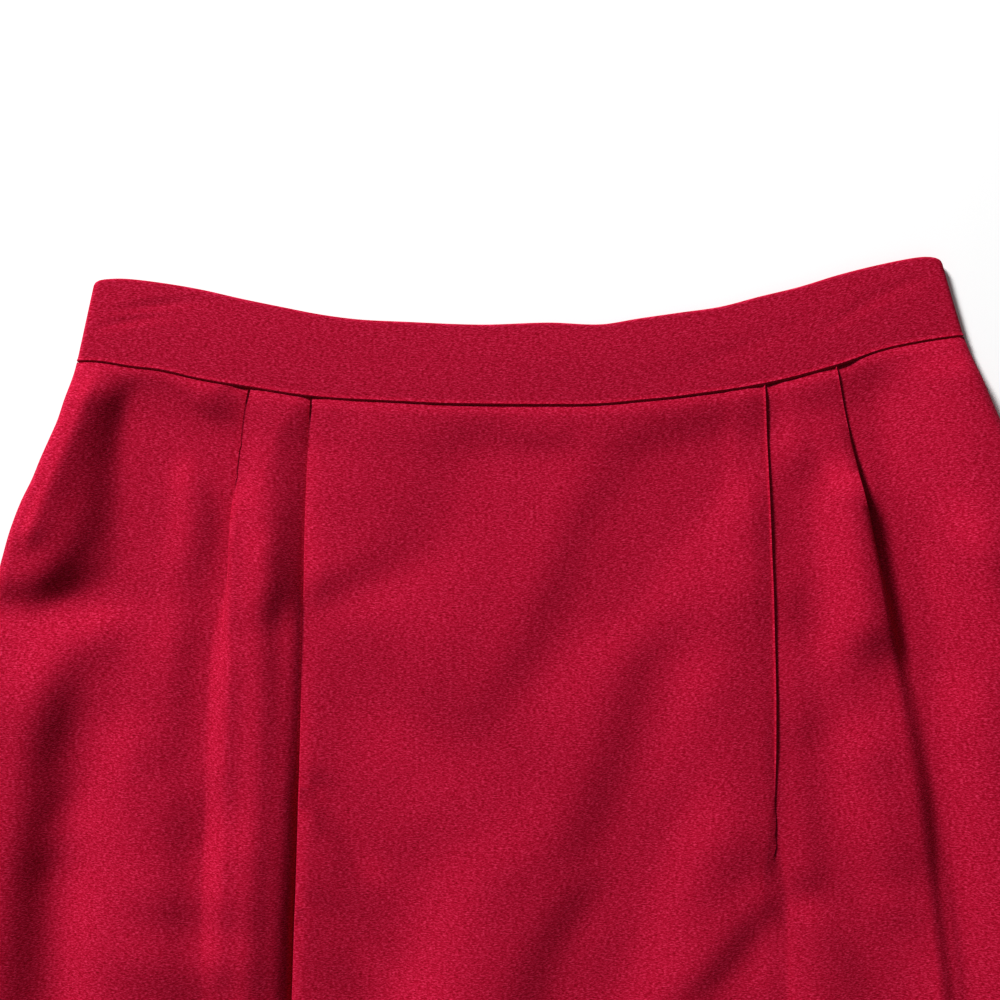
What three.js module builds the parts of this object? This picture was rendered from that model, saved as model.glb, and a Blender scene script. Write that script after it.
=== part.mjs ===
// A straight skirt with a shaped waistband and two soft pleats each side, laid flat, front up.
// Millimetres. +X is the right of the skirt as it lies, +Y runs up to the waist, +Z is up.
// Drawing zero is where the pleats' centre line meets the waist seam; "drop" is the distance below it.
import * as THREE from "three";

const clothWall = 1.0; // one layer of the skirt's cloth
const hemWall = 2.0; // turned hem, two layers
const bandWall = 2.2; // waistband with its allowances folded in
const layerGap = 0.4; // air between layers that lie on each other
const seamGap = 0.3; // air between two pieces that are sewn together
const skirtDrop = 588; // waist seam to hem, down the centre front
const hemTurn = 40; // height of the turned hem
const hemStep = 1; // length over which the wall thickens at the hem
const hemProp = 120; // how far above the hem its thickness lifts the cloth
const slitLength = 165; // walking slit in the centre back seam
const slitGap = 1.6; // how far its edges stand apart at the hem
const sideRoll = 6; // width of the soft roll at the side seams
const rollRise = 2.6; // height above rest at which the cloth rolls fully down to its side seam
const foldBulge = 0.9; // how far a pleat's outer turn bulges past its edge
const turnBulge = 0.7; // the same for its hidden inner turn
const foldOpens = 6; // overlap at which a pleat starts to open
const pleatSpread = 5; // half width of the slope that a pleat fades into
const turnPoints = 5; // points round one turn of a pleat
const centrePoints = 19;
const stripPoints = 4;
const sidePoints = 6;
const rollPoints = 4;
const backPoints = 11; // across the level part of one back panel

const clothColour = 0xa81230;
const bandColour = 0xa61330;

// Rows of numbers become rows of named values.
function table(columns, rows) {
  const names = columns.split(" ");
  return rows.map((row) => Object.fromEntries(names.map((name, i) => [name, row[i]])));
}

const waistSeam = table("x y", [
  [-181, 16], [-171, 15.6], [-159.5, 13.7], [-147.8, 12.3], [-132, 8.7], [-116.6, 6.2],
  [-88.5, 2], [-54, 0], [-35, -0.8], [4, -1.2], [24, -0.9], [43, 0.8], [55, 2],
  [88.5, 7], [116.6, 14.2], [134, 20.2], [150, 23.6], [166.5, 26.1],
]);

const bandTop = table("x y", [
  [-174, 48.2], [-163, 48.8], [-148, 47.2], [-132, 44.5], [-116.6, 41], [-101, 37.8],
  [-85, 34.7], [-70, 32.8], [-54, 32], [-23, 30.8], [4, 31.6], [24, 30.9], [39, 33.2],
  [55, 35.5], [71, 37.8], [86, 41.7], [102, 45.6], [117, 50.2], [133, 54.2], [149, 57.2],
  [157.5, 57],
]);

const sideLines = table("drop left right", [
  [-26, -178.5, 166.5], [-16, -181, 170.4], [-9, -182.9, 173.6], [-1, -185.6, 176.8],
  [7, -188.1, 180.2], [14, -191.1, 183.4], [22, -194.6, 186.8], [30, -197.8, 190.2],
  [38, -201.9, 193.6], [46, -205.1, 197], [57, -208.7, 201], [80, -215, 208],
  [110, -222, 215.5], [150, -229.5, 223], [200, -235, 229], [250, -237.5, 232],
  [300, -237.5, 232], [370, -233.5, 229], [450, -226.5, 222.5], [520, -220, 216.5],
  [600, -214, 211],
]);

// fold: distance of the visible edge from the centre line. overlap: cloth hidden behind it; below zero the
// pleat has opened into a slope. lift: how far the visible layer floats above the layers under it.
const pleatColumns = "drop fold overlap lift";
const pleats = {
  leftInner: table(pleatColumns, [
    [0, 88.5, 12.5, 0], [20, 90, 12.5, 0.6], [58, 92, 11, 1.8], [97, 93.2, 8, 2.8], [136, 94.4, 4, 3.4],
    [175, 96.3, 1, 3.6], [214, 98, -3, 3.6], [280, 100, -8, 2.8], [360, 101, -12, 1], [460, 100, -16, 0],
    [588, 96, -16, 0],
  ]),
  leftOuter: table(pleatColumns, [
    [0, 112.7, 12.5, 0], [11, 114.7, 12, 0.3], [38, 118.2, 9.5, 0.8], [65, 121.3, 6.5, 1], [92, 123.6, 3, 0.9],
    [120, 124.6, -1, 0.6], [150, 125.5, -6, 0.4], [200, 126.5, -12, 0.1], [260, 127, -16, 0], [588, 120, -16, 0],
  ]),
  rightInner: table(pleatColumns, [
    [0, 88.5, 12.5, 0], [18, 89.3, 12.5, 0.3], [46, 90.5, 11, 0.6], [77, 92, 9, 0.8], [116, 93.2, 5, 0.9],
    [160, 92.8, 1, 0.8], [200, 93, -3, 0.6], [280, 94, -10, 0.3], [460, 94, -16, 0], [588, 91, -16, 0],
  ]),
  rightOuter: table(pleatColumns, [
    [0, 115.5, 12.5, 0], [11, 119.7, 12, 0.4], [34, 124.4, 10, 0.8], [60, 128.4, 7, 1], [85, 130.8, 4, 1],
    [110, 133.5, 0, 0.9], [135, 136, -4, 0.7], [170, 139, -10, 0.3], [250, 142, -16, 0], [588, 128, -16, 0],
  ]),
};

// Soft folds of the front. height: above the cloth round it, below zero for a trough. width: from its middle
// to where it has mostly gone.
const folds = [
  { height: -2.6, width: 6, line: [[-157, -2], [-168, 24], [-176, 50], [-192, 74]] },
  { height: 2.4, width: 7, line: [[-150, 60], [-186, 90], [-214, 92]] },
  { height: -2.8, width: 7, line: [[-180, 110], [-194, 160], [-202, 230], [-206, 310]] },
  { height: 1.4, width: 9, line: [[-146, 40], [-150, 80], [-160, 130], [-172, 176]] },
  { height: -1.4, width: 7, line: [[-137, 70], [-136, 110], [-134, 150]] },
  { height: -2.2, width: 4, line: [[-88, 150], [-75, 178]] },
  { height: -1.8, width: 5, line: [[-84, 196], [-74, 214]] },
  { height: -1.7, width: 8, line: [[-34, 20], [-48, 44], [-76, 70]] },
  { height: -2.4, width: 12, line: [[38, 14], [22, 46], [-14, 102]] },
  { height: 2.2, width: 13, line: [[62, 60], [26, 98], [-8, 140], [-34, 196]] },
  { height: -2.6, width: 10, line: [[36, 108], [18, 160], [0, 210], [-14, 290]] },
  { height: -1.6, width: 8, line: [[98, 36], [104, 48]] },
  { height: -2.4, width: 5, line: [[103, 80], [107, 130], [110, 180]] },
  { height: -2.4, width: 5, line: [[90, 196], [72, 216]] },
  { height: -1.4, width: 4, line: [[98, 204], [112, 224]] },
  { height: -3, width: 5.5, line: [[127, 12], [135, 57], [146, 112], [158, 176], [165, 240], [168, 330]] },
  { height: 1.8, width: 12, line: [[150, 10], [162, 60], [176, 130]] },
  { height: 2, width: 16, line: [[-40, 250], [-20, 340], [-8, 430]] },
  { height: -2, width: 14, line: [[60, 270], [70, 350], [66, 430]] },
  { height: -1.8, width: 13, line: [[-130, 260], [-128, 340], [-120, 420]] },
];

// Height of the loose cloth above its resting level, the extra at the sides, by drop.
const fullness = table("drop body side", [
  [0, 2.8, 0], [20, 2.8, 0.6], [60, 2.8, 1.6], [110, 2.8, 2], [300, 2.8, 1.8], [400, 1.9, 0.9],
  [500, 0.5, 0.1], [548, 0, 0], [588, 0, 0],
]);

const rowDrops = [
  0, 8, 20, 34, 50, 64, 76, 88, 100, 112, 126, 140, 154, 168, 184, 206, 236, 275, 330, 390, 460,
  skirtDrop - hemTurn - hemStep, skirtDrop - hemTurn, skirtDrop,
];

const mix = (a, b, share) => a + (b - a) * share;
const clamp01 = (value) => Math.min(1, Math.max(0, value));
const smooth = (value) => {
  const v = clamp01(value);
  return v * v * (3 - 2 * v);
};

// Smooth curve through a table's rows, level past its ends.
function along(rows, input, output, value) {
  const last = rows.length - 1;
  if (value <= rows[0][input]) return rows[0][output];
  if (value >= rows[last][input]) return rows[last][output];
  let i = 0;
  while (rows[i + 1][input] < value) i += 1;
  const slopeAt = (k) => {
    const a = rows[Math.max(0, k - 1)];
    const b = rows[Math.min(last, k + 1)];
    return (b[output] - a[output]) / (b[input] - a[input]);
  };
  const span = rows[i + 1][input] - rows[i][input];
  const u = (value - rows[i][input]) / span;
  const start = slopeAt(i) * span;
  const end = slopeAt(i + 1) * span;
  const rise = rows[i + 1][output] - rows[i][output];
  return rows[i][output] + u * (start + u * (3 * rise - 2 * start - end + u * (start + end - 2 * rise)));
}

const wallAt = (drop) => (drop < skirtDrop - hemTurn ? clothWall : hemWall);

// Rows follow the waist seam at the top and straighten towards the hem.
const rowY = (drop, x) => along(waistSeam, "x", "y", x) * (1 - smooth(drop / 300)) - drop;

function sideX(name, drop) {
  let x = name === "left" ? -190 : 180;
  for (let pass = 0; pass < 5; pass += 1) x = along(sideLines, "drop", name, -rowY(drop, x));
  return x;
}

// Middle of the front's wall where it lies straight on the back.
function restingLevel(drop) {
  const topClose = clothWall + layerGap + clothWall;
  const topAtHem = hemWall + layerGap + hemWall;
  const prop = smooth((drop - (skirtDrop - hemTurn - hemProp)) / hemProp);
  return mix(topClose, topAtHem, prop) - wallAt(drop) / 2;
}

function distanceToLine(x, drop, line) {
  let nearest = Infinity;
  for (let i = 0; i + 1 < line.length; i += 1) {
    const [ax, ay] = line[i];
    const dx = line[i + 1][0] - ax;
    const dy = line[i + 1][1] - ay;
    const share = clamp01(((x - ax) * dx + (drop - ay) * dy) / (dx * dx + dy * dy));
    nearest = Math.min(nearest, Math.hypot(x - ax - dx * share, drop - ay - dy * share));
  }
  return nearest;
}

function foldHeight(x, y) {
  let sum = 0;
  for (const fold of folds) {
    const away = distanceToLine(x, -y, fold.line) / fold.width;
    if (away < 3) sum += fold.height * Math.exp(-away * away);
  }
  return sum;
}

function pleatAt(name, drop) {
  const read = (column) => along(pleats[name], "drop", column, drop);
  const rest = restingLevel(drop);
  const body = along(fullness, "drop", "body", drop);
  const overlap = read("overlap");
  const opened = smooth(-overlap / 16);
  const step = clothWall + layerGap;
  return {
    fold: read("fold"),
    overlap,
    lift: read("lift"),
    under: rest + body * opened,
    middle: rest + mix(step, body, opened),
    top: rest + mix(2 * step, body, opened) + read("lift"),
  };
}

const sideLevel = (drop) =>
  restingLevel(drop) + along(fullness, "drop", "body", drop) + along(fullness, "drop", "side", drop);

// Where the front rolls down to the side seam: how fully it rolls, and the seam's height.
function sideEdge(name, drop) {
  const sign = name === "left" ? -1 : 1;
  const x = sign * sideX(name, drop);
  const inside = sign * (x - sideRoll);
  const rest = restingLevel(drop);
  const z = Math.max(rest, sideLevel(drop) + foldHeight(inside, rowY(drop, inside)));
  const roll = smooth((z - rest) / rollRise);
  return { x, z, roll, rollStart: x - (wallAt(drop) / 2) * roll - sideRoll, seamLevel: 0.45 * z };
}

// The same path with its points at equal steps along it.
function evenlySpaced(points) {
  const lengths = [0];
  for (let i = 1; i < points.length; i += 1) {
    const [ax, az] = points[i - 1];
    lengths.push(lengths[i - 1] + Math.hypot(points[i][0] - ax, points[i][1] - az));
  }
  const last = points.length - 1;
  let k = 0;
  return points.map((point, i) => {
    const target = (lengths[last] * i) / last;
    while (k + 2 < points.length && lengths[k + 1] < target) k += 1;
    const share = clamp01((target - lengths[k]) / (lengths[k + 1] - lengths[k]));
    return [mix(points[k][0], points[k + 1][0], share), mix(points[k][1], points[k + 1][1], share)];
  });
}

// One pleat from its visible layer, round both turns, to the layer that goes on outwards.
function pleatPoints(pleat, topAt) {
  const { fold, overlap, middle, under } = pleat;
  const turn = fold - overlap;
  const edgeTop = topAt(fold);
  const zigzag = [[fold - Math.max(overlap, 2) / 2, topAt(fold - Math.max(overlap, 2) / 2)]];
  for (let i = 0; i < turnPoints; i += 1) {
    const angle = Math.PI * (0.5 - i / (turnPoints - 1));
    const centre = (edgeTop + middle) / 2;
    const reach = (edgeTop - middle) / 2;
    zigzag.push([fold + foldBulge * Math.cos(angle), centre + reach * Math.sin(angle)]);
  }
  for (let i = 0; i < turnPoints; i += 1) {
    const angle = Math.PI * (0.5 - i / (turnPoints - 1));
    const centre = (middle + under) / 2;
    const reach = (middle - under) / 2;
    zigzag.push([turn - turnBulge * Math.cos(angle), centre + reach * Math.sin(angle)]);
  }
  zigzag.push([fold, under]);
  const opening = smooth((foldOpens - overlap) / foldOpens);
  if (opening === 0) return zigzag;
  const last = zigzag.length - 1;
  const opened = zigzag.map(([x, z], i) => {
    const slopeX = fold - pleatSpread + (2 * pleatSpread * i) / last;
    const slopeZ = mix(edgeTop, under, smooth(i / last));
    return [mix(x, slopeX, opening), mix(z, slopeZ, opening)];
  });
  const even = evenlySpaced(opened);
  const evenness = Math.min(1, opening * 3);
  return opened.map(([x, z], i) => [mix(x, even[i][0], evenness), mix(z, even[i][1], evenness)]);
}

// Middle line of the front's wall across one row, from the left side seam to the right one.
function frontRow(drop) {
  const rest = restingLevel(drop);
  const half = wallAt(drop) / 2;
  const halves = ["left", "right"].map((name) => {
    const sign = name === "left" ? -1 : 1;
    const heightAt = (x) => foldHeight(sign * x, rowY(drop, sign * x));
    const inner = pleatAt(name + "Inner", drop);
    const outer = pleatAt(name + "Outer", drop);
    const edge = sideEdge(name, drop);
    const points = [];
    const innerTop = (x) => inner.top + Math.max(0, inner.lift ? heightAt(x) : 0);
    const outerTop = (x) => outer.top + Math.max(0, outer.lift ? heightAt(x) : 0);
    points.push(...pleatPoints(inner, innerTop));
    const stripStart = Math.max(inner.fold + 1, points[points.length - 1][0] + 1);
    const stripEnd = outer.fold - Math.max(outer.overlap + 1.5, pleatSpread + 1);
    for (let i = 0; i < stripPoints; i += 1) {
      const share = i / (stripPoints - 1);
      const x = mix(stripStart, stripEnd, share);
      const window = smooth(share * 4) * smooth((1 - share) * 4);
      const z = mix(inner.under, outer.top, smooth((share - 0.08) * 1.1)) + heightAt(x) * window;
      points.push([x, Math.max(rest, z)]);
    }
    points.push(...pleatPoints(outer, outerTop));
    const sideStart = Math.max(outer.fold + 1, points[points.length - 1][0] + 1);
    for (let i = 0; i < sidePoints; i += 1) {
      const share = i / (sidePoints - 1);
      const x = mix(sideStart, edge.rollStart, share);
      const level = mix(outer.under, sideLevel(drop), smooth((x - outer.fold - 2) / 18));
      const z = Math.max(rest, level + heightAt(x) * smooth(share * 5));
      points.push([x, i === sidePoints - 1 ? edge.z : z]);
    }
    for (let i = 1; i <= rollPoints; i += 1) {
      const angle = (Math.PI / 2) * (1 - i / rollPoints);
      const x = edge.rollStart + sideRoll * Math.cos(angle);
      points.push([x, mix(edge.seamLevel + seamGap / 2, edge.z, mix(1, Math.sin(angle), edge.roll))]);
    }
    return { sign, points, inner };
  });
  const [left, right] = halves;
  const start = -left.points[0][0];
  const end = right.points[0][0];
  const middlePoints = [];
  for (let i = 1; i <= centrePoints; i += 1) {
    const share = i / (centrePoints + 1);
    const x = mix(start, end, share);
    const lift = mix(left.inner.top, right.inner.top, smooth(share));
    const window = smooth(share * 8) * smooth((1 - share) * 8);
    const height = foldHeight(x, rowY(drop, x));
    middlePoints.push([x, Math.max(rest, lift + (height < 0 ? height * window : height))]);
  }
  return [
    ...left.points.map(([x, z]) => [-x, z]).reverse(),
    ...middlePoints,
    ...right.points,
  ].map(([x, z]) => ({ x, z, half }));
}

// Middle line of one back panel across one row, from the centre back seam to the side seam.
function backRow(drop, name) {
  const sign = name === "left" ? -1 : 1;
  const half = wallAt(drop) / 2;
  const edge = sideEdge(name, drop);
  const opening = smooth((drop - (skirtDrop - slitLength)) / slitLength) * (slitGap / 2);
  const centre = seamGap / 2 + opening;
  const points = [];
  for (let i = 0; i < backPoints; i += 1) points.push([mix(centre, edge.rollStart, i / (backPoints - 1)), half]);
  for (let i = 1; i <= rollPoints; i += 1) {
    const angle = (Math.PI / 2) * (i / rollPoints);
    const x = edge.rollStart + sideRoll * Math.sin(angle);
    points.push([x, mix(half, edge.seamLevel - seamGap / 2, (1 - Math.cos(angle)) * edge.roll)]);
  }
  const row = points.map(([x, z]) => ({ x: sign * x, z, half }));
  return name === "left" ? row.reverse() : row;
}

// A wall of the given thickness round middle lines: rows of points joined into one closed body.
// placeY gives each point its y from its row and its x.
function wallFromRows(rows, placeY) {
  const count = rows[0].length;
  const corners = [];
  rows.forEach((row, r) => {
    const sides = [[], []];
    const steps = row.slice(1).map((point, i) => {
      const length = Math.hypot(point.x - row[i].x, point.z - row[i].z);
      return { x: (point.x - row[i].x) / length, z: (point.z - row[i].z) / length };
    });
    const beyond = (end, next) => ({ x: 2 * end.x - next.x, z: 2 * end.z - next.z });
    const runs = [beyond(steps[0], steps[1]), ...steps, beyond(steps[count - 2], steps[count - 3])];
    row.forEach((point, i) => {
      let tx = runs[i].x + runs[i + 1].x;
      let tz = runs[i].z + runs[i + 1].z;
      const length = Math.hypot(tx, tz);
      tx /= length;
      tz /= length;
      [1, -1].forEach((side, s) => {
        const x = point.x - tz * point.half * side;
        const z = point.z + tx * point.half * side;
        sides[s].push([x, placeY(r, point.x, i), z]);
      });
    });
    corners.push([...sides[0], ...sides[1].reverse()]);
  });
  const ring = 2 * count;
  const positions = corners.flat(2);
  const index = [];
  const quad = (a, b, c, d) => index.push(a, b, c, a, c, d);
  // Both faces of the wall are split along the same diagonals, so they keep their distance.
  for (let r = 0; r + 1 < rows.length; r += 1) {
    for (let i = 0; i < ring; i += 1) {
      const j = (i + 1) % ring;
      const [a, b, c, d] = [r * ring + i, (r + 1) * ring + i, (r + 1) * ring + j, r * ring + j];
      if (i < count) quad(a, b, c, d);
      else quad(b, c, d, a);
    }
  }
  const lastRow = (rows.length - 1) * ring;
  for (let i = 0; i + 1 < count; i += 1) {
    const j = ring - 1 - i;
    quad(i, i + 1, j - 1, j);
    quad(lastRow + i, lastRow + j, lastRow + j - 1, lastRow + i + 1);
  }
  const geometry = new THREE.BufferGeometry();
  geometry.setAttribute("position", new THREE.Float32BufferAttribute(positions, 3));
  geometry.setIndex(index);
  return geometry;
}

function panel(rowOf) {
  const rows = rowDrops.map(rowOf);
  return wallFromRows(rows, (r, x) => rowY(rowDrops[r], x) - (r === 0 ? seamGap / 3 : 0));
}

// Waistband: one strip folded round from the centre back, both ends butting there.
const bandRows = table("share wall", [[0, 0.75], [0.05, 1], [0.35, 1], [0.65, 1], [0.95, 1], [1, 0.6]]);
const bandEnds = { left: [-181, -174], right: [166.5, 157.5] };
const bandLow = bandWall / 2;
const bandHigh = clothWall * 3 + layerGap * 3 + 0.5 - bandWall / 2 + 0.8;

function bandRow({ share, wall }) {
  const half = (bandWall / 2) * wall;
  const left = mix(...bandEnds.left, share) + bandWall / 2;
  const right = mix(...bandEnds.right, share) - bandWall / 2;
  const radius = (bandHigh - bandLow) / 2;
  const point = (x, z) => ({ x, z, half });
  const row = [];
  const frontPoints = 28;
  const turn = 6;
  for (let i = 0; i < backPoints; i += 1) {
    row.push(point(mix(-seamGap / 2, left + radius, i / backPoints), bandLow));
  }
  for (let i = 0; i <= turn; i += 1) {
    const angle = (Math.PI * i) / turn;
    row.push(point(left + radius - radius * Math.sin(angle), bandLow + radius * (1 - Math.cos(angle))));
  }
  for (let i = 1; i < frontPoints; i += 1) {
    row.push(point(mix(left + radius, right - radius, i / frontPoints), bandHigh));
  }
  for (let i = 0; i <= turn; i += 1) {
    const angle = (Math.PI * i) / turn;
    row.push(point(right - radius + radius * Math.sin(angle), bandHigh - radius * (1 - Math.cos(angle))));
  }
  for (let i = 1; i <= backPoints; i += 1) {
    row.push(point(mix(right - radius, seamGap / 2, i / backPoints), bandLow));
  }
  return row;
}

function bandGeometry() {
  const rows = [...bandRows].reverse().map(bandRow);
  const shares = [...bandRows].reverse().map((row) => row.share);
  return wallFromRows(rows, (r, x) => {
    const seamY = along(waistSeam, "x", "y", x) + seamGap;
    return mix(seamY, along(bandTop, "x", "y", x), shares[r]);
  });
}

const pieces = [
  ["front_panel", panel(frontRow), clothColour],
  ["back_left", panel((drop) => backRow(drop, "left")), clothColour],
  ["back_right", panel((drop) => backRow(drop, "right")), clothColour],
  ["waistband", bandGeometry(), bandColour],
];

// The part stands with the middle of its outline over the origin.
const bounds = new THREE.Box3();
for (const [, geometry] of pieces) {
  geometry.computeBoundingBox();
  bounds.union(geometry.boundingBox);
}
const middle = bounds.getCenter(new THREE.Vector3());

const skirt = new THREE.Group();
for (const [name, geometry, color] of pieces) {
  geometry.translate(-middle.x, -middle.y, 0);
  geometry.computeVertexNormals();
  const mesh = new THREE.Mesh(geometry, new THREE.MeshStandardMaterial({ color, roughness: 0.9, metalness: 0 }));
  mesh.name = name;
  skirt.add(mesh);
}

export default skirt;
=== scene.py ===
# A straight red crepe skirt laid flat, front up, seen from straight above.
import math

import bpy
import numpy as np
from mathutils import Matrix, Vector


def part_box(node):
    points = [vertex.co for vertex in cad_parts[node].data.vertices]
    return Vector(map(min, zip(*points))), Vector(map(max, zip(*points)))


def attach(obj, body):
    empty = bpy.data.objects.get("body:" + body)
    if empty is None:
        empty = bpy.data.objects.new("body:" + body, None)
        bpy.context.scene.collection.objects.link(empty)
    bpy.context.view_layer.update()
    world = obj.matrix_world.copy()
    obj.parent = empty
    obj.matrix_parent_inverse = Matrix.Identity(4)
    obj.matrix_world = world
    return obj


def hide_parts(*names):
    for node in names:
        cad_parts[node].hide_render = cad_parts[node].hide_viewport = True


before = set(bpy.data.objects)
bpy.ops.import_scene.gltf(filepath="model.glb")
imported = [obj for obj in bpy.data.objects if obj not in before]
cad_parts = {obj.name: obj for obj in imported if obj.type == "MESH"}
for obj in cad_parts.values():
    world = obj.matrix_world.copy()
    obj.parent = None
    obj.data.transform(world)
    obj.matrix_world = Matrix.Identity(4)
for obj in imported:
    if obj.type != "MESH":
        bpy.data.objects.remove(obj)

bpy.ops.object.select_all(action="DESELECT")
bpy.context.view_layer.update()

# The drawing is in millimetres, with zero where the pleats' centre line meets the waist seam.
# "drop" is the distance below that point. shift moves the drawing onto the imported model.
skirtDrop = 588  # waist seam to hem, down the centre
hemTurn = 40  # height of the turned hem
shift = (
    (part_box("back_left")[1][0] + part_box("back_right")[0][0]) * 500,
    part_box("front_panel")[0][1] * 1000 + skirtDrop,
)


def namedRows(columns, rows):
    # A table as one list for each named column.
    return {name: np.array([row[i] for row in rows], float) for i, name in enumerate(columns.split())}


waistSeam = namedRows("x y", [
    (-181, 16), (-171, 15.6), (-159.5, 13.7), (-147.8, 12.3), (-132, 8.7), (-116.6, 6.2),
    (-88.5, 2), (-54, 0), (-35, -0.8), (4, -1.2), (24, -0.9), (43, 0.8), (55, 2),
    (88.5, 7), (116.6, 14.2), (134, 20.2), (150, 23.6), (166.5, 26.1),
])

bandTop = namedRows("x y", [
    (-174, 48.2), (-163, 48.8), (-148, 47.2), (-132, 44.5), (-116.6, 41), (-101, 37.8),
    (-85, 34.7), (-70, 32.8), (-54, 32), (-23, 30.8), (4, 31.6), (24, 30.9), (39, 33.2),
    (55, 35.5), (71, 37.8), (86, 41.7), (102, 45.6), (117, 50.2), (133, 54.2), (149, 57.2),
    (157.5, 57),
])

sideLines = namedRows("drop left right", [
    (-26, -178.5, 166.5), (-16, -181, 170.4), (-9, -182.9, 173.6), (-1, -185.6, 176.8),
    (7, -188.1, 180.2), (14, -191.1, 183.4), (22, -194.6, 186.8), (30, -197.8, 190.2),
    (38, -201.9, 193.6), (46, -205.1, 197), (57, -208.7, 201), (80, -215, 208),
    (110, -222, 215.5), (150, -229.5, 223), (200, -235, 229), (250, -237.5, 232),
    (300, -237.5, 232), (370, -233.5, 229), (450, -226.5, 222.5), (520, -220, 216.5),
    (600, -214, 211),
])

# fold: the visible edge's distance from the centre line. overlap: cloth hidden behind it. lift: how far it floats
# above the layers under it. rise: how far outside it the cloth is up again. All in millimetres.
pleats = {
    "leftInner": namedRows("drop fold overlap lift rise", [
        (0, 88.5, 12.5, 0, 6), (20, 89.6, 12.5, 1, 14), (50, 90.8, 12, 2, 18), (74, 91.2, 11.5, 3, 13),
        (92, 91.8, 11, 4, 10), (136, 92.7, 10, 4.8, 8.5), (175, 93.8, 9, 5, 8.5), (235, 95.8, 7.5, 4.6, 9),
        (280, 97, 5.6, 3.6, 12), (330, 98, 2.5, 2.3, 15), (390, 98.5, -4, 1.1, 17), (450, 98, -11, 0.4, 18),
        (510, 97, -16, 0, 18), (588, 96, -16, 0, 18),
    ]),
    "leftOuter": namedRows("drop fold overlap lift rise", [
        (0, 112.7, 12.5, 0, 9), (11, 114.7, 11.5, 1, 20), (38, 118.2, 7.5, 3, 18), (52, 120, 5.5, 3.8, 18),
        (65, 121.3, 4.2, 4.4, 18), (92, 123.6, 2, 4.8, 18), (120, 124.6, -2, 4.4, 18), (150, 125.5, -7, 3.4, 18),
        (200, 126.5, -13, 2, 18), (260, 127, -16, 0.6, 18), (588, 120, -16, 0, 18),
    ]),
    "rightInner": namedRows("drop fold overlap lift rise", [
        (0, 87.5, 12.5, 0, 8), (18, 88.4, 12.5, 0, 14), (46, 89.6, 12, 0, 18), (77, 90.7, 11, 0, 18),
        (116, 91.8, 8, 0, 18), (150, 92, 5, 0, 18), (180, 92.4, 2.5, 0, 18), (215, 93, -3, 0, 18),
        (280, 94, -10, 0, 18), (340, 94, -16, 0, 18), (588, 91, -16, 0, 18),
    ]),
    "rightOuter": namedRows("drop fold overlap lift rise", [
        (0, 115.5, 12.5, 0, 8), (11, 117.6, 12, 1.4, 14), (25, 120.3, 11, 2.6, 18), (37, 122.8, 9, 3.2, 20),
        (48, 125, 7, 3.3, 22), (61, 128, 5.5, 3, 24), (77, 132.2, 4, 2.6, 26), (93, 136.5, 3, 2.3, 26),
        (126, 144, 1, 2, 26), (163, 151, -1, 1.8, 26), (202, 157, -3, 1.6, 26), (235, 161, -5, 1.4, 26),
        (300, 164, -12, 1, 26), (380, 162, -16, 0, 20), (588, 146, -16, 0, 16),
    ]),
}

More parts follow.
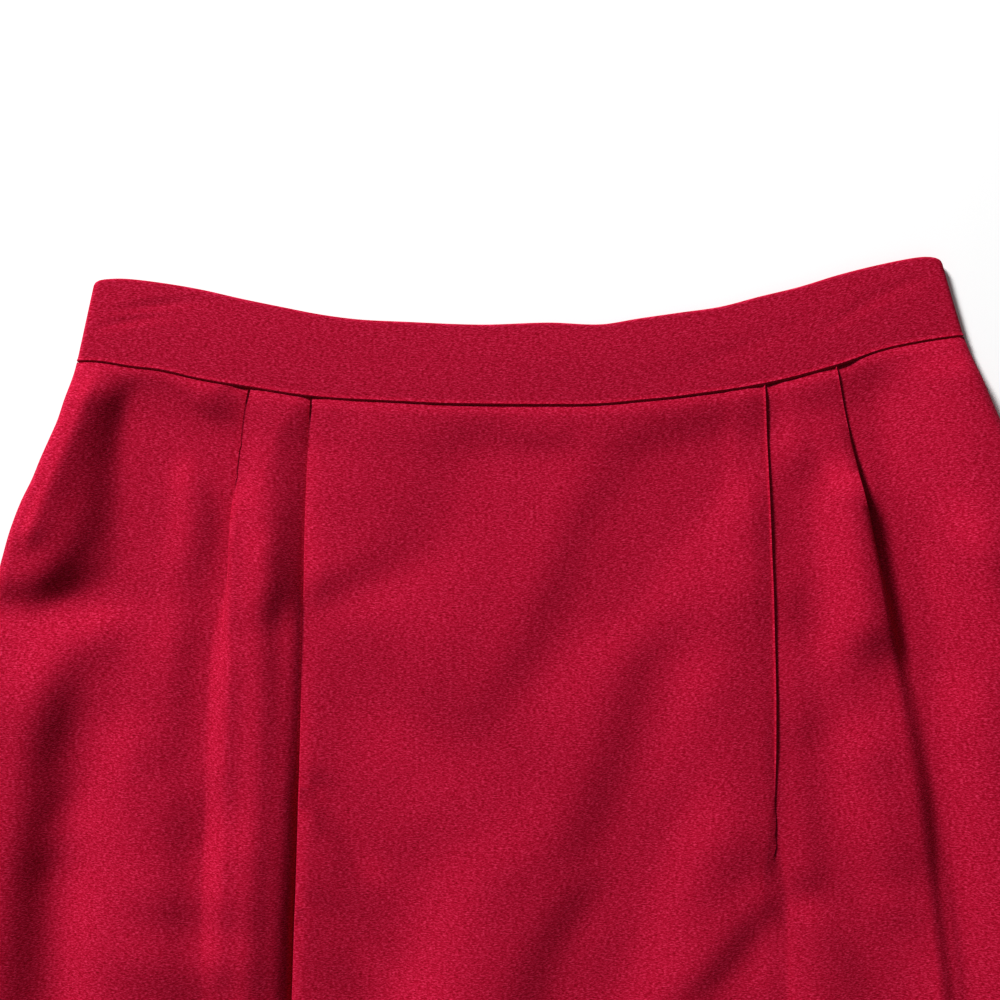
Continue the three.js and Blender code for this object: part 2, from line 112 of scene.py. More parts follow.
# Soft folds, in millimetres. height: over the cloth round it, below zero for a trough. fall: how much lower the cloth
# is on its right (or lower) side than on the other. width: how far it reaches to each side. line: points of x and
# drop that it runs through.
folds = [
    (0.4, -3.7, 6.2, [(-181, -7), (-191, 18), (-202, 48)]),
    (-1.2, 2.2, 9.4, [(-158, -1), (-167, 22), (-173, 50), (-183, 67)]),
    (-3.1, 0, 15.6, [(-152, 11), (-156, 46)]),
    (-3.6, 0.1, 9.4, [(-167, 76), (-187, 78), (-218, 80)]),
    (0.2, -1, 13.3, [(-163, 96), (-187, 100), (-218, 108)]),
    (-1.3, 2.2, 10.1, [(-181, 108), (-190, 143), (-195, 178), (-200, 217), (-202, 241)]),
    (-1.9, -0.4, 15.6, [(-172, 163), (-170, 178)]),
    (-1, -1.9, 9.4, [(-137, 46), (-135, 96), (-136, 139)]),
    (-1.8, -0.5, 11.7, [(-152, 14), (-150, 61), (-152, 116)]),
    (-4, 3.5, 8.6, [(-146, -1), (-130, 9)]),
    (0.4, 1, 11.7, [(-152, 223), (-121, 227)]),
    (1.3, -0.9, 7.8, [(-124, 178), (-126, 213)]),
    (-0.9, 0.1, 15.6, [(-163, 198), (-167, 233)]),
    (0.8, 0.7, 5.5, [(-97, 44), (-98, 67)]),
    (-0.3, 0.9, 12.5, [(-37, 20), (-48, 46), (-60, 61), (-82, 73)]),
    (0.7, 0.2, 13.3, [(-66, 11), (-78, 38)]),
    (-2, -1.7, 19.5, [(-78, 92), (-54, 116)]),
    (-2.6, -1.2, 23.4, [(-62, 147), (-54, 217)]),
    (-0.4, 0.9, 15.6, [(67, 9), (43, 18), (24, 40), (12, 61)]),
    (-0.4, -1.1, 13.3, [(78, 22), (59, 46), (43, 73)]),
    (0.9, 0.2, 5.5, [(-5, 11), (6, 11)]),
    (0.3, 0.6, 10.9, [(28, 69), (6, 87), (-17, 110)]),
    (-0.2, -0.1, 11.7, [(24, 87), (8, 116), (-11, 155), (-31, 194)]),
    (0.1, 1, 10.9, [(41, 104), (28, 143), (14, 174)]),
    (0.4, 1.2, 10.1, [(14, 194), (2, 213), (-7, 237)]),
    (0.1, -1.6, 15.6, [(-31, 186), (-46, 233)]),
    (-1.4, 1.2, 5.1, [(-87, 153), (-80, 165), (-73, 177)]),
    (-1.1, 0.8, 6.2, [(-84, 201), (-73, 215)]),
    (0.2, 1.1, 7, [(91, 197), (80, 209), (70, 222)]),
    (1.3, -0.9, 12.5, [(80, 46), (80, 65)]),
    (2.1, -1.1, 17.6, [(67, 85), (71, 163)]),
    (0.7, -1.9, 14, [(55, 178), (43, 233)]),
    (-1.1, -0.1, 10.9, [(104, 30), (103, 53)]),
    (0, 0.7, 4.7, [(101, 77), (105, 124), (111, 182)]),
    (-0.2, 0.2, 3.5, [(95, 116), (93, 155), (89, 192)]),
    (-1.2, 1, 4.5, [(99, 208), (107, 220), (117, 237)]),
    (2.3, -3, 19.5, [(151, -5), (164, 38)]),
    (0.2, -0.9, 10.1, [(137, 155), (137, 170)]),
    (-4, 1.9, 14, [(127, 194), (133, 237)]),
    (-1.4, 0.5, 6.2, [(-152, 26), (-159, 53), (-173, 77)]),
    (-0.3, -0.3, 8.6, [(-140, 77), (-160, 116), (-175, 139)]),
    (-0.9, 0.4, 7.8, [(-163, 92), (-167, 131), (-183, 155)]),
    (-2.9, -0.7, 10.1, [(-187, 190), (-186, 233)]),
    (1.2, 0.7, 10.1, [(-152, 194), (-126, 196)]),
    (-0.2, 0.5, 11.7, [(-23, 92), (-46, 139)]),
    (0.8, 0.1, 10.1, [(63, 116), (43, 167), (28, 206)]),
    (0.1, 0, 7.8, [(-54, 167), (-70, 206)]),
    (2.9, -4, 11.7, [(164, 61), (176, 100)]),
    (1.8, 0, 5.9, [(-107, 61), (-108, 100), (-110, 163), (-113, 237)]),
    (-0.8, -1, 7.8, [(-113, 11), (-117, 46), (-121, 92)]),
    (3.6, -4, 9.4, [(117, 38), (121, 85)]),
    (0.1, -1, 5.5, [(98, 196), (104, 199)]),
    (1.1, -3.3, 10.1, [(121, 139), (128, 194)]),
    (0.2, 1, 5.5, [(122.5, 12), (128, 27), (133, 45), (135, 60), (138, 77), (145, 112), (152, 156), (161, 233)]),
    (0, -1.2, 13, [(-170, 140), (-171, 190), (-172, 236)]),
    # below the photo's edge the skirt is finished plainly
    (1.6, -0.8, 17, [(-44, 248), (-24, 340), (-10, 430)]),
    (-1.6, 0.6, 15, [(58, 262), (68, 350), (64, 430)]),
    (-1.5, -0.5, 14, [(-132, 256), (-128, 340), (-118, 420)]),
    (0.9, -0.6, 12, [(-196, 262), (-188, 330), (-180, 390)]),
    (-1.1, 0.8, 13, [(172, 250), (178, 320), (172, 390)]),
    (1.0, 0.5, 12, [(124, 262), (116, 330), (112, 380)]),
    (-0.7, -0.4, 10, [(8, 300), (2, 360), (6, 400)]),
]

# How far the loose cloth stands up over its resting level, and how much more at the sides.
fullness = namedRows("drop body side", [
    (0, 1.6, 0), (8, 1.8, 0.1), (24, 3.2, 0.6), (50, 4.6, 1.4), (100, 5.6, 1.8), (160, 6, 1.8), (300, 5.4, 1.6),
    (400, 3.4, 0.9), (500, 0.9, 0.1), (548, 0, 0), (588, 0, 0),
])

cloth = {
    "thickness": 0.45,  # mm, one layer
    "smoothAngle": 50,  # degrees, sharper edges stay sharp
    "rest": 1.9,  # mm, middle of the front where it lies on the back
    "hemRest": 3.9,  # mm, the same where the turned hems prop it up
    "hemProp": 120,  # mm above the hem over which it is lifted
    "curveFade": 300,  # mm below the waist over which its curve straightens out
    "layerStep": 0.48,  # mm between layers that lie on each other
    "seamStep": 0.48,  # the same where the layers are sewn flat at the waist
    "seamPinch": 1.9,  # mm, how far the waist seam holds the front off the back
    "pinchLength": 22,  # mm below the seam over which this fades
    "sideRoll": 6,  # mm, width of the soft roll at the side seams
    "sideShare": 0.45,  # how far up that roll the side seam lies
    "seamSplit": 0.1,  # mm, from the side seam to each edge
    "hemSplit": 0.78,  # mm, the same where the turned hems lie between
    "hemSpread": 24,  # mm above the hem over which they part
    "foldBulge": 0.6,  # mm, how far a pleat's outer turn bulges past its edge
    "turnBulge": 0.5,  # the same for its hidden inner turn
    "leastOverlap": 2,  # mm, taken for the place of its first point
    "edgeFall": 0.5,  # mm, how far a pleat's top layer sinks towards its fold
    "edgeFallWidth": 3,  # mm over which it does so
    "foldOpens": 6,  # mm, overlap at which a pleat starts to open
    "openWidth": 16,  # mm, how far it has spread when nothing of it is left
    "pleatSpread": 5,  # mm, half width of the slope that it fades into
    "stackSlope": 3,  # mm over which cloth climbs onto the layers of a pleat
    "pleatMargin": 1,  # mm from a pleat's points to the next ones
    "turnMargin": 1.5,  # the same from its hidden inner turn
    "innerRiseStart": 0.5,  # mm outside a fold where the cloth starts to rise again
    "outerRiseStart": 3,
    "looseRate": 3,  # how much sooner than it is all open the cloth of a pleat is loose
    "evenRate": 1.5,  # the same for its points to be evenly spaced
    "softRate": 20,  # how soon the layer is eased where folds begin to show
    "foldsReturn": 4,  # mm over which the soft folds come back beside an outer pleat
    "slitLength": 165,  # mm, walking slit in the centre back
    "slitGap": 1.6,  # mm, how far its edges stand apart at the hem
    "backGap": 0.15,  # mm, half the gap at the centre back
    "smoothing": 5,  # passes that soften the loose cloth
    "foldStrength": 1.15,  # times the heights in the table of folds
    "foldFade": 1.4,  # how far a fold fades past its ends, in widths
    "easing": 0.8,  # mm, how softly a trough flattens out on the layer under it
    "seamDip": 0.7,  # mm, how far the cloth draws in beside the waist seam
    "dipLength": 1.6,  # mm below the seam
    "dipFrom": 1.9,  # mm over rest, above which a layer is the one that shows
    "seamHold": 16,  # mm, how far the seam keeps the folds flat
    "seamFolds": 0.2,  # how much of the folds is left at the seam
    "hemStep": 0.35,  # mm, how deep the line of the hem's stitches is drawn in
    "hemStepWidth": 2.5,  # mm above and below the stitches
    "hemLayer": 1.3,  # mm between the hem's two layers
    "hemPress": 0.5,  # mm, the same at the side seams
    "firstRow": 0.7,  # mm, one row more beside the waist seam
    "rowStep": 2.2,  # mm between rows where the photo looks closest
    "closeDrop": 246,  # mm, the last of them
    "lowerStep": 10,  # mm between the rows below
    "hemRows": [-6, -4, -2, 0, 2, 4, 6, 14, 22, 30],  # mm from the hem's stitches
    "hemTurnRows": 7,
    "innerHemRows": 6,  # rows of its inner layer
    "innerHemStart": 6,  # mm above the lower edge
    # points across each turn of a pleat, the centre, the strips between pleats, the sides, their rolls and the back
    "turnSteps": 6,
    "centreSteps": 90,
    "stripSteps": 18,
    "sideSteps": 36,
    "rollSteps": 8,
    "backSteps": 44,
}


def mix(a, b, share):
    return a + (b - a) * share


def smooth(value):
    v = np.clip(value, 0, 1)
    return v * v * (3 - 2 * v)


def arch(value):
    # Steepest at its start, level at its end.
    v = 1 - np.clip(value, 0, 1)
    return 1 - v * v


def along(rows, given, wanted, value):
    # A soft curve through the rows of a table.
    xs, ys = rows[given], rows[wanted]
    slopes = np.empty_like(ys)
    slopes[1:-1] = (ys[2:] - ys[:-2]) / (xs[2:] - xs[:-2])
    slopes[0] = (ys[1] - ys[0]) / (xs[1] - xs[0])
    slopes[-1] = (ys[-1] - ys[-2]) / (xs[-1] - xs[-2])
    value = np.clip(value, xs[0], xs[-1])
    i = np.clip(np.searchsorted(xs, value, side="right") - 1, 0, len(xs) - 2)
    span = xs[i + 1] - xs[i]
    u = (value - xs[i]) / span
    start, end = slopes[i] * span, slopes[i + 1] * span
    rise = ys[i + 1] - ys[i]
    return ys[i] + u * (start + u * (3 * rise - 2 * start - end + u * (start + end - 2 * rise)))


def lengthAlong(x, z):
    return np.concatenate([[0], np.cumsum(np.hypot(np.diff(x), np.diff(z)))])


def rowY(drop, x):
    return along(waistSeam, "x", "y", x) * (1 - smooth(drop / cloth["curveFade"])) - drop


def sideX(name, drop):
    # A row curves, so where it meets the side is found in a few steps.
    x = -190.0 if name == "left" else 180.0
    for _ in range(5):
        x = along(sideLines, "drop", name, -rowY(drop, x))
    return x


def seamHold(drop):
    return mix(cloth["seamFolds"], 1, float(smooth(drop / cloth["seamHold"])))


def restingLevel(drop):
    prop = smooth((drop - (skirtDrop - hemTurn - cloth["hemProp"])) / cloth["hemProp"])
    return mix(cloth["rest"], cloth["hemRest"], prop) + cloth["seamPinch"] * (1 - smooth(drop / cloth["pinchLength"]))


def foldOffset(x, drop, line):
    # Distance from the fold's line, above zero on its right or lower side, and distance past its ends.
    points = np.array(line, float)
    steep = np.ptp(points[:, 1]) >= np.ptp(points[:, 0])
    run, cross = (drop, x) if steep else (x, drop)
    runs, crosses = (points[:, 1], points[:, 0]) if steep else (points[:, 0], points[:, 1])
    order = np.argsort(runs)
    rows = {"run": runs[order], "cross": crosses[order]}
    inside = np.clip(run, rows["run"][0], rows["run"][-1])
    startSlope = (rows["cross"][1] - rows["cross"][0]) / (rows["run"][1] - rows["run"][0])
    endSlope = (rows["cross"][-1] - rows["cross"][-2]) / (rows["run"][-1] - rows["run"][-2])
    slope = np.where(run < inside, startSlope, endSlope)
    lineAt = along(rows, "run", "cross", inside) + slope * (run - inside)
    meanSlope = (rows["cross"][-1] - rows["cross"][0]) / (rows["run"][-1] - rows["run"][0])
    return (cross - lineAt) / math.hypot(1, meanSlope), np.abs(run - inside)


def foldShapes(x, drop, width, line):
    # A ridge and a step across the fold, each one high at most.
    offset, past = foldOffset(x, drop, line)
    u = offset / width
    fade = np.exp(-(past / (cloth["foldFade"] * width)) ** 2)
    return np.exp(-u * u) * fade, -u * np.exp(0.5 - 0.5 * u * u) * fade


def foldHeight(x, y):
    x, y = np.broadcast_arrays(np.asarray(x, float), np.asarray(y, float))
    total = np.zeros(x.shape)
    for height, fall, width, line in folds:
        ridge, step = foldShapes(x, -y, width, line)
        total = total + height * ridge + fall * step
    return total * cloth["foldStrength"]


def above(rest, z):
    # z, eased so that it never sinks below rest
    over = z - rest
    return rest + 0.5 * (over + np.sqrt(over * over + cloth["easing"] ** 2))


def pleatAt(name, drop):
    rows = pleats[name]
    fold, overlap, lift, rise = (float(along(rows, "drop", key, drop)) for key in ("fold", "overlap", "lift", "rise"))
    rest = float(restingLevel(drop))
    body = float(along(fullness, "drop", "body", drop))
    opening = float(smooth((cloth["foldOpens"] - overlap) / cloth["foldOpens"]))
    opened = float(smooth(-overlap / cloth["openWidth"]))
    step = mix(cloth["seamStep"], cloth["layerStep"], float(smooth(drop / cloth["pinchLength"])))
    return {
        "fold": fold, "overlap": overlap, "rise": rise,
        "opening": opening,  # its layers are turning into one slope
        "open": min(1, cloth["looseRate"] * opening),  # none of it is held down any more
        "under": rest + body * opened,
        "middle": rest + mix(step, body, opened),
        "stack": rest + 2 * step * (1 - opened),
        "top": rest + mix(2 * step, body, opened) + lift,
    }


def sunk(x, pleat):
    away = np.abs(x - pleat["fold"]) / cloth["edgeFallWidth"]
    return cloth["edgeFall"] * np.exp(-away ** 2) * (1 - pleat["open"])


def stackUnder(x, rest, pleat):
    # The level of the layers folded under a pleat, and of the back where there are none.
    slope = cloth["stackSlope"]
    folded = smooth((x - pleat["fold"] + pleat["overlap"] + slope) / slope) * (1 - pleat["open"])
    return mix(rest, pleat["stack"], folded)


def evenlySpaced(x, z):
    lengths = lengthAlong(x, z)
    wanted = np.linspace(0, lengths[-1], len(x))
    return np.interp(wanted, lengths, x), np.interp(wanted, lengths, z)


def pleatPath(pleat):
    # From the visible layer, round both turns, to the layer that goes on outwards: x, height, how fully folds show.
    fold, overlap, top, middle, under = (pleat[key] for key in ("fold", "overlap", "top", "middle", "under"))
    turn = fold - overlap
    turnSteps = cloth["turnSteps"]
    angles = np.pi * (0.5 - np.linspace(0, 1, turnSteps))
    outerZ = (top + middle) / 2 + (top - middle) / 2 * np.sin(angles)
    innerZ = (middle + under) / 2 + (middle - under) / 2 * np.sin(angles)
    x = np.concatenate([
        [fold - max(overlap, cloth["leastOverlap"]) / 2], fold + cloth["foldBulge"] * np.cos(angles),
        turn - cloth["turnBulge"] * np.cos(angles), [fold],
    ])
    z = np.concatenate([[top], outerZ, innerZ, [under]])
    upper = slice(turnSteps // 2)
    z[upper] = z[upper] - sunk(x[upper], pleat)
    share = np.concatenate([[1], (1 + np.sin(angles)) / 2, np.zeros(turnSteps + 1)])
    opening = pleat["opening"]
    if opening == 0:
        return x, z, share
    steps = np.linspace(0, 1, len(x))
    x = mix(x, fold + cloth["pleatSpread"] * (2 * steps - 1), opening)
    z = mix(z, mix(top, under, smooth(steps)), opening)
    evenX, evenZ = evenlySpaced(x, z)
    evenness = float(smooth(opening * cloth["evenRate"]))
    return mix(x, evenX, evenness), mix(z, evenZ, evenness), mix(share, 1, evenness)


def sideLevel(drop):
    return restingLevel(drop) + along(fullness, "drop", "body", drop) + along(fullness, "drop", "side", drop)


def sideEdge(name, drop):
    sign = -1 if name == "left" else 1
    x = float(sign * sideX(name, drop))
    inside = sign * (x - cloth["sideRoll"])
    rest = float(restingLevel(drop))
    z = float(above(rest, sideLevel(drop) + seamHold(drop) * foldHeight(inside, rowY(drop, inside))))
    atHem = float(smooth((drop - (skirtDrop - hemTurn - cloth["hemSpread"])) / cloth["hemSpread"]))
    split = mix(cloth["seamSplit"], cloth["hemSplit"], atHem)
    seam = cloth["sideShare"] * z
    start = x - cloth["thickness"] / 2 - cloth["sideRoll"]
    return {"z": z, "rollStart": start, "frontEnd": seam + split, "backEnd": seam - split}


def frontHalf(name, drop):
    # x outwards from the centre line, height without the soft folds, how fully they show, where the cloth is loose,
    # and the lowest that it can lie. Then the inner pleat, where the centre starts.
    inner, outer = pleatAt(name + "Inner", drop), pleatAt(name + "Outer", drop)
    rest = float(restingLevel(drop))
    edge = sideEdge(name, drop)
    innerX, innerZ, innerShare = pleatPath(inner)
    outerX, outerZ, outerShare = pleatPath(outer)
    margin, stripSteps, rollSteps = cloth["pleatMargin"], cloth["stripSteps"], cloth["rollSteps"]

    stripStart = max(inner["fold"] + margin, innerX[-1] + margin)
    stripEnd = outer["fold"] - max(outer["overlap"] + cloth["turnMargin"], cloth["pleatSpread"] + margin)
    stripX = np.linspace(stripStart, stripEnd, stripSteps)
    risen = (stripX - inner["fold"] - cloth["innerRiseStart"]) / inner["rise"]
    stripZ = mix(inner["under"], outer["top"], arch(risen) if name == "left" else smooth(risen)) - sunk(stripX, outer)
    stripShare = mix(smooth((stripX - stripStart) / inner["rise"]), 1, inner["open"])
    if name == "right":
        # here the layers rise and fall together
        innerShare, stripShare = np.ones(len(innerX)), np.ones(stripSteps)

    sideStart = max(outer["fold"] + margin, outerX[-1] + margin)
    sideXs = np.linspace(sideStart, edge["rollStart"], cloth["sideSteps"])
    risen = (sideXs - outer["fold"] - cloth["outerRiseStart"]) / outer["rise"]
    sideZ = mix(outer["under"], float(sideLevel(drop)), smooth(risen))
    sideShare = mix(smooth((sideXs - sideStart) / cloth["foldsReturn"]), 1, outer["open"])

    angles = np.pi / 2 * (1 - np.arange(1, rollSteps + 1) / rollSteps)
    rollX = edge["rollStart"] + cloth["sideRoll"] * np.cos(angles)
    rollZ = mix(edge["frontEnd"], edge["z"], np.sin(angles))

    x = np.concatenate([innerX, stripX, outerX, sideXs, rollX])
    z = np.concatenate([innerZ, stripZ, outerZ, sideZ, rollZ])
    share = np.concatenate([innerShare, stripShare, outerShare, sideShare, np.zeros(rollSteps)])
    loose = np.concatenate([
        np.full(len(innerX), inner["open"]), np.ones(stripSteps), np.full(len(outerX), outer["open"]),
        np.ones(len(sideXs) - 2), np.zeros(rollSteps + 2),
    ])
    lowest = np.concatenate([
        np.minimum(innerZ, inner["stack"]), stackUnder(stripX, rest, outer), np.minimum(outerZ, outer["stack"]),
        np.full(len(sideXs) + rollSteps, rest),
    ])
    return (x, z, share, loose, lowest), inner


def plainFrontRow(drop):
    # Both halves and the centre between them, from left to right.
    left, leftPleat = frontHalf("left", drop)
    right, rightPleat = frontHalf("right", drop)
    rest = float(restingLevel(drop))
    count = cloth["centreSteps"]
    step = np.arange(1, count + 1) / (count + 1)
    x = mix(-left[0][0], right[0][0], step)
    z = mix(leftPleat["top"], rightPleat["top"], smooth(step)) - sunk(-x, leftPleat) - sunk(x, rightPleat)
    lowest = np.maximum(stackUnder(-x, rest, leftPleat), stackUnder(x, rest, rightPleat))
    centre = (x, z, np.ones(count), np.ones(count), lowest)
    leftSide = (-left[0][::-1],) + tuple(part[::-1] for part in left[1:])
    return tuple(np.concatenate(parts) for parts in zip(leftSide, centre, right))


def frontRow(drop):
    x, z, share, loose, lowest = plainFrontRow(drop)
    folded = above(lowest, z + share * seamHold(drop) * foldHeight(x, rowY(drop, x)))
    drawnIn = cloth["hemStep"] * math.exp(-((drop - skirtDrop + hemTurn) / cloth["hemStepWidth"]) ** 2)
    return x, mix(z, folded, smooth(share * cloth["softRate"])) - drawnIn, loose


def backRow(name, drop):
    edge = sideEdge(name, drop)
    half = cloth["thickness"] / 2
    opening = float(smooth((drop - (skirtDrop - cloth["slitLength"])) / cloth["slitLength"])) * cloth["slitGap"] / 2
    flatX = np.linspace(cloth["backGap"] + opening, edge["rollStart"], cloth["backSteps"])
    angles = np.pi / 2 * np.arange(1, cloth["rollSteps"] + 1) / cloth["rollSteps"]
    x = np.concatenate([flatX, edge["rollStart"] + cloth["sideRoll"] * np.sin(angles)])
    z = np.concatenate([np.full(len(flatX), half), mix(half, edge["backEnd"], 1 - np.cos(angles))])
    loose = np.zeros(len(x))
    return (-x[::-1], z[::-1], loose) if name == "left" else (x, z, loose)


def rowDrops():
    close = np.arange(0, cloth["closeDrop"], cloth["rowStep"])
    close = np.concatenate([[0, cloth["firstRow"]], close[1:]])
    hem = skirtDrop - hemTurn + np.array(cloth["hemRows"])
    lower = np.arange(cloth["closeDrop"], hem[0] - 1, cloth["lowerStep"])
    return np.concatenate([close, lower, hem])


def eased(z, loose):
    # Each height drawn halfway to the mean of its four neighbours, where the cloth is loose.
    around = z.copy()
    around[1:-1, 1:-1] = (z[:-2, 1:-1] + z[2:, 1:-1] + z[1:-1, :-2] + z[1:-1, 2:]) / 4
    return z + 0.5 * loose * (around - z)


def fromSides(x, isFront):
    # Zero at the side seams, one where their soft rolls end. Both sides of the front are seams, one of each back is.
    if isFront:
        away = np.minimum(np.arange(len(x)), np.arange(len(x))[::-1]) / cloth["rollSteps"]
    else:
        away = np.abs(np.abs(x) - np.abs(x).max()) / cloth["sideRoll"]
    return np.clip(away, 0, 1)


def turnedRows(rowAt, isFront):
    # All rows of a panel, then the hem's turn and its inner layer, as x, y, z, u, v grids.
    drops = rowDrops()
    inwards = -1 if isFront else 1
    radius = cloth["hemLayer"] / 2
    angles = np.linspace(0, np.pi, cloth["hemTurnRows"])
    turnDrops = skirtDrop - radius + radius * np.sin(angles)
    turnLifts = inwards * radius * (1 - np.cos(angles))
    innerDrops = np.linspace(skirtDrop - cloth["innerHemStart"], skirtDrop - hemTurn, cloth["innerHemRows"])
    allDrops = np.concatenate([drops, turnDrops, innerDrops])
    lifts = np.concatenate([np.zeros(len(drops)), turnLifts, np.full(len(innerDrops), inwards * cloth["hemLayer"])])
    grid = []
    depth = 0
    for i, (drop, lift) in enumerate(zip(allDrops, lifts)):
        x, z, loose = rowAt(float(drop))
        across = lengthAlong(x, z)
        order = np.argsort(x)
        middle = np.interp(0, x[order], across[order])
        if i:
            depth += max(0.1, math.hypot(drop - allDrops[i - 1], lift - lifts[i - 1]))
        pressed = mix(cloth["hemPress"] / cloth["hemLayer"], 1, fromSides(x, isFront))
        isLoose = 1 < i < len(drops)
        grid.append((x, rowY(drop, x), z + lift * pressed, across - middle, np.full(len(x), -depth), loose * isLoose))
    grid = [np.array(part) for part in zip(*grid)]
    loose = grid.pop()
    loose[:, 1:-1] = np.minimum(loose[:, 1:-1], np.minimum(loose[:, :-2], loose[:, 2:]))
    for _ in range(cloth["smoothing"]):
        grid[2] = eased(grid[2], loose)
    return grid, allDrops


def quads(rows, columns, closed=False):
    # Faces between each row and the next, and between the last and the first where they go all round.
    r, c = np.meshgrid(np.arange(rows if closed else rows - 1), np.arange(columns - 1), indexing="ij")
    here = (r * columns + c).ravel()
    there = ((r + 1) % rows * columns + c).ravel()
    return np.stack([here, there, there + 1, here + 1], axis=-1)


def makeCloth(name, grid, faces, thickness=0):
    # grid holds x, y, z in millimetres of the drawing, and u, v along the cloth, for each row and column
    x, y, z, u, v = grid
    points = np.stack([(x + shift[0]) / 1000, (y + shift[1]) / 1000, z / 1000], axis=-1).reshape(-1, 3)
    mesh = bpy.data.meshes.new(name)
    mesh.from_pydata(points.tolist(), [], faces)
    layer = mesh.uv_layers.new(name="cloth")
    uv = np.stack([u / 1000, v / 1000], axis=-1).reshape(-1, 2)
    layer.data.foreach_set("uv", uv[[loop.vertex_index for loop in mesh.loops]].ravel())
    piece = bpy.data.objects.new(name, mesh)
    bpy.context.collection.objects.link(piece)
    bpy.context.view_layer.objects.active = piece
    piece.select_set(True)
    if thickness:
        wall = piece.modifiers.new("wall", "SOLIDIFY")
        wall.thickness = thickness / 1000
        wall.offset = 0
        wall.use_even_offset = True
        bpy.ops.object.modifier_apply(modifier=wall.name)
    bpy.ops.object.shade_smooth_by_angle(angle=math.radians(cloth["smoothAngle"]))
    bpy.ops.object.select_all(action="DESELECT")
    print(name, len(piece.data.polygons), "faces")
    return piece


def makeSheet(name, grid):
    return makeCloth(name, grid, quads(*grid[0].shape).tolist(), cloth["thickness"])


print("front panel: folding the pleats")
frontGrid, frontDrops = turnedRows(frontRow, isFront=True)
onTop = frontGrid[2] > cloth["rest"] + cloth["dipFrom"]
frontGrid[2] = frontGrid[2] - onTop * cloth["seamDip"] * np.exp(-(frontDrops / cloth["dipLength"]) ** 2)[:, None]
frontCloth = makeSheet("frontPanelCloth", frontGrid)
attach(frontCloth, "root")
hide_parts("front_panel")

print("back panels")
backCloths = []
for name in ("left", "right"):
    grid, _ = turnedRows(lambda drop: backRow(name, drop), isFront=False)
    piece = makeSheet(f"back{name.title()}Cloth", grid)
    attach(piece, "root")
    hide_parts(f"back_{name}")
    backCloths.append(piece)

band = {
    "height": 32,  # mm
    "clothHeight": 33,  # mm of cloth over that height, for the grain
    "wall": 1.5,  # mm, its two layers with their allowances
    "low": 1.1,  # mm, middle of the back half
    "high": 4.25,  # mm, middle of the front half
    "crown": 0.3,  # mm, how much the front stands fuller along its middle
    "seamGap": 0.12,  # mm from the waist seam's cloth
    "leftEnd": (-181, -174),  # mm, x at the seam and at the top
    "rightEnd": (166.5, 157.5),
    "cornerRound": 2.4,  # mm, at the ends of its top edge
    "endFade": 12,  # mm from each end over which the dents fade in
    "bead": 0.3,  # mm, how far the folded lower edge stands up
    "foldRound": 0.03,  # share of the height that the folded top edge rounds over
    "frontRows": (0.045, 0.96, 30),  # first and last share up the band, and rows between
    "backRows": (0.96, 0.04, 9),
    "lowerEdge": [  # share up the band, share of half the wall, share of the bead
        (0.006, -0.75, 0), (0, 0, 0), (0.006, 0.7, 0), (0.016, 1, 0.3), (0.027, 1, 1),
    ],
    "dents": [  # x, share up the band, depth, half length, half height, whether it slants
        (-149, 0.74, 0.5, 7, 4, True), (-160, 0.52, 0.45, 6, 4, True), (-70, 0.5, 0.2, 26, 8, False),
        (10, 0.6, -0.2, 30, 9, False), (78, 0.45, 0.25, 18, 7, True), (132, 0.62, 0.3, 10, 6, True),
    ],
    "dentSlant": 0.3,  # mm up for each mm along
    "pressedLines": [(131, 0.66), (131, 0.71), (132, 0.76)],  # x, share up the band
    "lineDepth": 0.14,  # mm
    "lineLength": 5,  # mm, half of it
    "lineHeight": 0.5,
    "frontSteps": 170,  # points along the front, each back half and each end turn
    "backSteps": 60,
    "turnSteps": 9,
}


def bandSection():
    # Outline of the folded strip: share up its height, and distance either side of its middle.
    half, top = band["wall"] / 2, band["foldRound"]
    section = [(share, half) for share in np.linspace(*band["frontRows"])]
    for angle in np.linspace(75, -75, 5):
        section.append((1 - top + top * math.cos(math.radians(angle)), half * math.sin(math.radians(angle))))
    section += [(share, -half) for share in np.linspace(*band["backRows"])]
    for share, wallShare, beadShare in band["lowerEdge"]:
        section.append((share, half * wallShare + band["bead"] * beadShare))
    return section


def bandDents(x, share):
    total = np.zeros(len(x))
    for at, height, depth, length, tall, slants in band["dents"]:
        up = (share - height) * band["height"]
        lean = up / band["dentSlant"] * slants
        total = total - depth * np.exp(-((x - at - lean) / length) ** 2 - (up / tall) ** 2)
    for at, height in band["pressedLines"]:
        up = (share - height) * band["height"]
        shape = -((x - at) / band["lineLength"]) ** 4 - (up / band["lineHeight"]) ** 2
        total = total - band["lineDepth"] * np.exp(shape)
    return total


